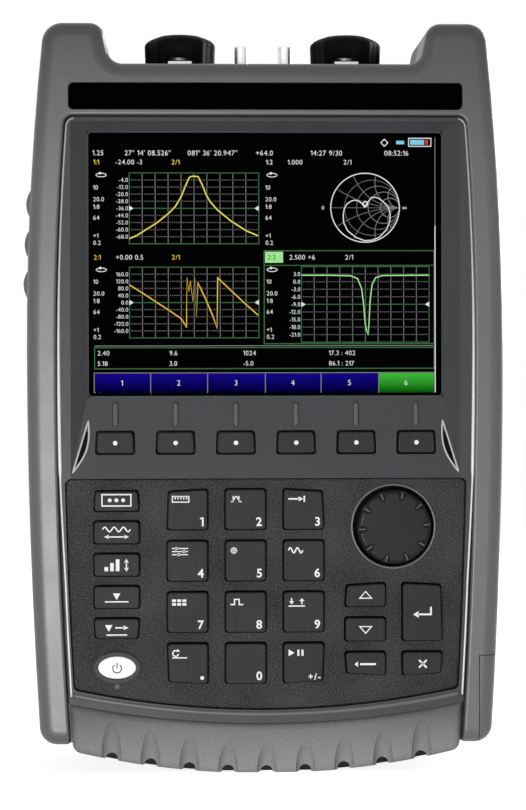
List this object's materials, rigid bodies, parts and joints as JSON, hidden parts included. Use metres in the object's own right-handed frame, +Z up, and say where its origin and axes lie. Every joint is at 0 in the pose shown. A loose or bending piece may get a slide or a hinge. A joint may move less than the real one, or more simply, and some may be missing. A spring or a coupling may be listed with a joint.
{
  "type": "handheld microwave analyzer",
  "caption": "Upright handheld test instrument with a recessed screen, soft keys, a keypad, a tuning knob, capped ports between two horns, side doors and a rear tilt stand.",
  "frame": {"origin": "under the middle of the case, at the lowest point of the bottom bumper", "axes": "+Z up along the case's length, +Y from the screen side to the back, +X to the viewer's right"},
  "size_m": [0.1928, 0.072, 0.2918],
  "materials": {
    "case_grey": "fine-grained moulded case",
    "case_back": "fine-grained moulded case",
    "bezel_grey": "satin moulded frame",
    "panel_grey": "pebble-grained panel",
    "bumper_rubber": "moulded rubber",
    "strip_black": "glossy bare strip",
    "window_clear": "clear window",
    "lcd_dark": "lit display face",
    "key_charcoal": "satin keys",
    "power_pale": "pale button",
    "lamp_clear": "clear lamp",
    "knob_black": "satin knob",
    "steel": "turned steel",
    "alloy": "machined alloy",
    "board_green": "circuit board",
    "battery_black": "battery case",
    "cap_black": "knurled cap",
    "door_rubber": "soft door",
    "foot_rubber": "soft foot"
  },
  "bodies": {
    "case": {"front_housing": "case_grey", "rear_housing": "case_back", "front_bezel": "bezel_grey", "keypad_panel": "panel_grey", "bottom_bumper": "bumper_rubber", "nameplate": "strip_black", "screen_window": "window_clear", "lcd_panel": "lcd_dark", "status_lamp": "lamp_clear", "encoder": "alloy", "keypad_board": "board_green", "main_board": "board_green", "rf_module": "alloy", "battery_pack": "battery_black", "top_plate": "alloy", "test_ports": "steel", "coaxial_jacks": "steel", "side_sockets": "steel", "case_screws": "steel", "rear_feet": "foot_rubber"},
    "soft_key_1": {"soft_key_1": "key_charcoal"},
    "soft_key_2": {"soft_key_2": "key_charcoal"},
    "soft_key_3": {"soft_key_3": "key_charcoal"},
    "soft_key_4": {"soft_key_4": "key_charcoal"},
    "soft_key_5": {"soft_key_5": "key_charcoal"},
    "soft_key_6": {"soft_key_6": "key_charcoal"},
    "function_key_1": {"function_key_1": "key_charcoal"},
    "function_key_2": {"function_key_2": "key_charcoal"},
    "function_key_3": {"function_key_3": "key_charcoal"},
    "function_key_4": {"function_key_4": "key_charcoal"},
    "function_key_5": {"function_key_5": "key_charcoal"},
    "number_key_1": {"number_key_1": "key_charcoal"},
    "number_key_2": {"number_key_2": "key_charcoal"},
    "number_key_3": {"number_key_3": "key_charcoal"},
    "number_key_4": {"number_key_4": "key_charcoal"},
    "number_key_5": {"number_key_5": "key_charcoal"},
    "number_key_6": {"number_key_6": "key_charcoal"},
    "number_key_7": {"number_key_7": "key_charcoal"},
    "number_key_8": {"number_key_8": "key_charcoal"},
    "number_key_9": {"number_key_9": "key_charcoal"},
    "number_key_point": {"number_key_point": "key_charcoal"},
    "number_key_0": {"number_key_0": "key_charcoal"},
    "number_key_sign": {"number_key_sign": "key_charcoal"},
    "up_key": {"up_key": "key_charcoal"},
    "down_key": {"down_key": "key_charcoal"},
    "back_key": {"back_key": "key_charcoal"},
    "enter_key": {"enter_key": "key_charcoal"},
    "escape_key": {"escape_key": "key_charcoal"},
    "power_button": {"power_button": "power_pale"},
    "knob": {"tuning_knob": "knob_black", "encoder_shaft": "steel"},
    "dust_cap_left": {"dust_cap_left": "cap_black"},
    "dust_cap_right": {"dust_cap_right": "cap_black"},
    "left_door_1": {"left_door_1": "door_rubber"},
    "left_door_2": {"left_door_2": "door_rubber"},
    "left_door_3": {"left_door_3": "door_rubber"},
    "right_door": {"right_door": "door_rubber"},
    "battery_door": {"battery_door": "case_grey"},
    "tilt_stand": {"tilt_stand": "case_back"}
  },
  "joints": [
    {"name": "tilt_stand_swing", "type": "hinge", "parent": "case", "child": "tilt_stand", "pos_m": [0, 0.0303, 0.1877], "axis": [1, 0, 0], "range_deg": [0, 40]},
    {"name": "battery_door_slide", "type": "slide", "parent": "case", "child": "battery_door", "axis": [1, 0, 0], "range_m": [0, 0.03]},
    {"name": "right_door_swing", "type": "hinge", "parent": "case", "child": "right_door", "pos_m": [0.09246, 0.0246, 0.1145], "axis": [0.0213, 0, 0.9998], "range_deg": [0, 110]},
    {"name": "left_door_3_swing", "type": "hinge", "parent": "case", "child": "left_door_3", "pos_m": [-0.09269, 0.0246, 0.1916], "axis": [-0.0231, 0, -0.9997], "range_deg": [0, 110]},
    {"name": "left_door_2_swing", "type": "hinge", "parent": "case", "child": "left_door_2", "pos_m": [-0.0922, 0.0246, 0.2078], "axis": [-0.0372, 0, -0.9993], "range_deg": [0, 110]},
    {"name": "left_door_1_swing", "type": "hinge", "parent": "case", "child": "left_door_1", "pos_m": [-0.09149, 0.0246, 0.224], "axis": [-0.0512, 0, -0.9987], "range_deg": [0, 110]},
    {"name": "dust_cap_right_lift", "type": "slide", "parent": "case", "child": "dust_cap_right", "axis": [0, 0, 1], "range_m": [0, 0.014]},
    {"name": "dust_cap_left_lift", "type": "slide", "parent": "case", "child": "dust_cap_left", "axis": [0, 0, 1], "range_m": [0, 0.014]},
    {"name": "knob_turn", "type": "hinge", "parent": "case", "child": "knob", "pos_m": [0.04965, -0.03, 0.0957], "axis": [0, -1, 0], "continuous": true},
    {"name": "soft_key_1_press", "type": "slide", "parent": "case", "child": "soft_key_1", "axis": [0, 1, 0], "range_m": [0, 0.0012], "stiffness_N_per_m": 900},
    {"name": "soft_key_2_press", "type": "slide", "parent": "case", "child": "soft_key_2", "axis": [0, 1, 0], "range_m": [0, 0.0012], "stiffness_N_per_m": 900},
    {"name": "soft_key_3_press", "type": "slide", "parent": "case", "child": "soft_key_3", "axis": [0, 1, 0], "range_m": [0, 0.0012], "stiffness_N_per_m": 900},
    {"name": "soft_key_4_press", "type": "slide", "parent": "case", "child": "soft_key_4", "axis": [0, 1, 0], "range_m": [0, 0.0012], "stiffness_N_per_m": 900},
    {"name": "soft_key_5_press", "type": "slide", "parent": "case", "child": "soft_key_5", "axis": [0, 1, 0], "range_m": [0, 0.0012], "stiffness_N_per_m": 900},
    {"name": "soft_key_6_press", "type": "slide", "parent": "case", "child": "soft_key_6", "axis": [0, 1, 0], "range_m": [0, 0.0012], "stiffness_N_per_m": 900},
    {"name": "function_key_1_press", "type": "slide", "parent": "case", "child": "function_key_1", "axis": [0, 1, 0], "range_m": [0, 0.0012], "stiffness_N_per_m": 900},
    {"name": "function_key_2_press", "type": "slide", "parent": "case", "child": "function_key_2", "axis": [0, 1, 0], "range_m": [0, 0.0012], "stiffness_N_per_m": 900},
    {"name": "function_key_3_press", "type": "slide", "parent": "case", "child": "function_key_3", "axis": [0, 1, 0], "range_m": [0, 0.0012], "stiffness_N_per_m": 900},
    {"name": "function_key_4_press", "type": "slide", "parent": "case", "child": "function_key_4", "axis": [0, 1, 0], "range_m": [0, 0.0012], "stiffness_N_per_m": 900},
    {"name": "function_key_5_press", "type": "slide", "parent": "case", "child": "function_key_5", "axis": [0, 1, 0], "range_m": [0, 0.0012], "stiffness_N_per_m": 900},
    {"name": "number_key_1_press", "type": "slide", "parent": "case", "child": "number_key_1", "axis": [0, 1, 0], "range_m": [0, 0.0012], "stiffness_N_per_m": 900},
    {"name": "number_key_2_press", "type": "slide", "parent": "case", "child": "number_key_2", "axis": [0, 1, 0], "range_m": [0, 0.0012], "stiffness_N_per_m": 900},
    {"name": "number_key_3_press", "type": "slide", "parent": "case", "child": "number_key_3", "axis": [0, 1, 0], "range_m": [0, 0.0012], "stiffness_N_per_m": 900},
    {"name": "number_key_4_press", "type": "slide", "parent": "case", "child": "number_key_4", "axis": [0, 1, 0], "range_m": [0, 0.0012], "stiffness_N_per_m": 900},
    {"name": "number_key_5_press", "type": "slide", "parent": "case", "child": "number_key_5", "axis": [0, 1, 0], "range_m": [0, 0.0012], "stiffness_N_per_m": 900},
    {"name": "number_key_6_press", "type": "slide", "parent": "case", "child": "number_key_6", "axis": [0, 1, 0], "range_m": [0, 0.0012], "stiffness_N_per_m": 900},
    {"name": "number_key_7_press", "type": "slide", "parent": "case", "child": "number_key_7", "axis": [0, 1, 0], "range_m": [0, 0.0012], "stiffness_N_per_m": 900},
    {"name": "number_key_8_press", "type": "slide", "parent": "case", "child": "number_key_8", "axis": [0, 1, 0], "range_m": [0, 0.0012], "stiffness_N_per_m": 900},
    {"name": "number_key_9_press", "type": "slide", "parent": "case", "child": "number_key_9", "axis": [0, 1, 0], "range_m": [0, 0.0012], "stiffness_N_per_m": 900},
    {"name": "number_key_point_press", "type": "slide", "parent": "case", "child": "number_key_point", "axis": [0, 1, 0], "range_m": [0, 0.0012], "stiffness_N_per_m": 900},
    {"name": "number_key_0_press", "type": "slide", "parent": "case", "child": "number_key_0", "axis": [0, 1, 0], "range_m": [0, 0.0012], "stiffness_N_per_m": 900},
    {"name": "number_key_sign_press", "type": "slide", "parent": "case", "child": "number_key_sign", "axis": [0, 1, 0], "range_m": [0, 0.0012], "stiffness_N_per_m": 900},
    {"name": "up_key_press", "type": "slide", "parent": "case", "child": "up_key", "axis": [0, 1, 0], "range_m": [0, 0.0012], "stiffness_N_per_m": 900},
    {"name": "down_key_press", "type": "slide", "parent": "case", "child": "down_key", "axis": [0, 1, 0], "range_m": [0, 0.0012], "stiffness_N_per_m": 900},
    {"name": "back_key_press", "type": "slide", "parent": "case", "child": "back_key", "axis": [0, 1, 0], "range_m": [0, 0.0012], "stiffness_N_per_m": 900},
    {"name": "enter_key_press", "type": "slide", "parent": "case", "child": "enter_key", "axis": [0, 1, 0], "range_m": [0, 0.0012], "stiffness_N_per_m": 900},
    {"name": "escape_key_press", "type": "slide", "parent": "case", "child": "escape_key", "axis": [0, 1, 0], "range_m": [0, 0.0012], "stiffness_N_per_m": 900},
    {"name": "power_button_press", "type": "slide", "parent": "case", "child": "power_button", "axis": [0, 1, 0], "range_m": [0, 0.0012], "stiffness_N_per_m": 900}
  ]
}
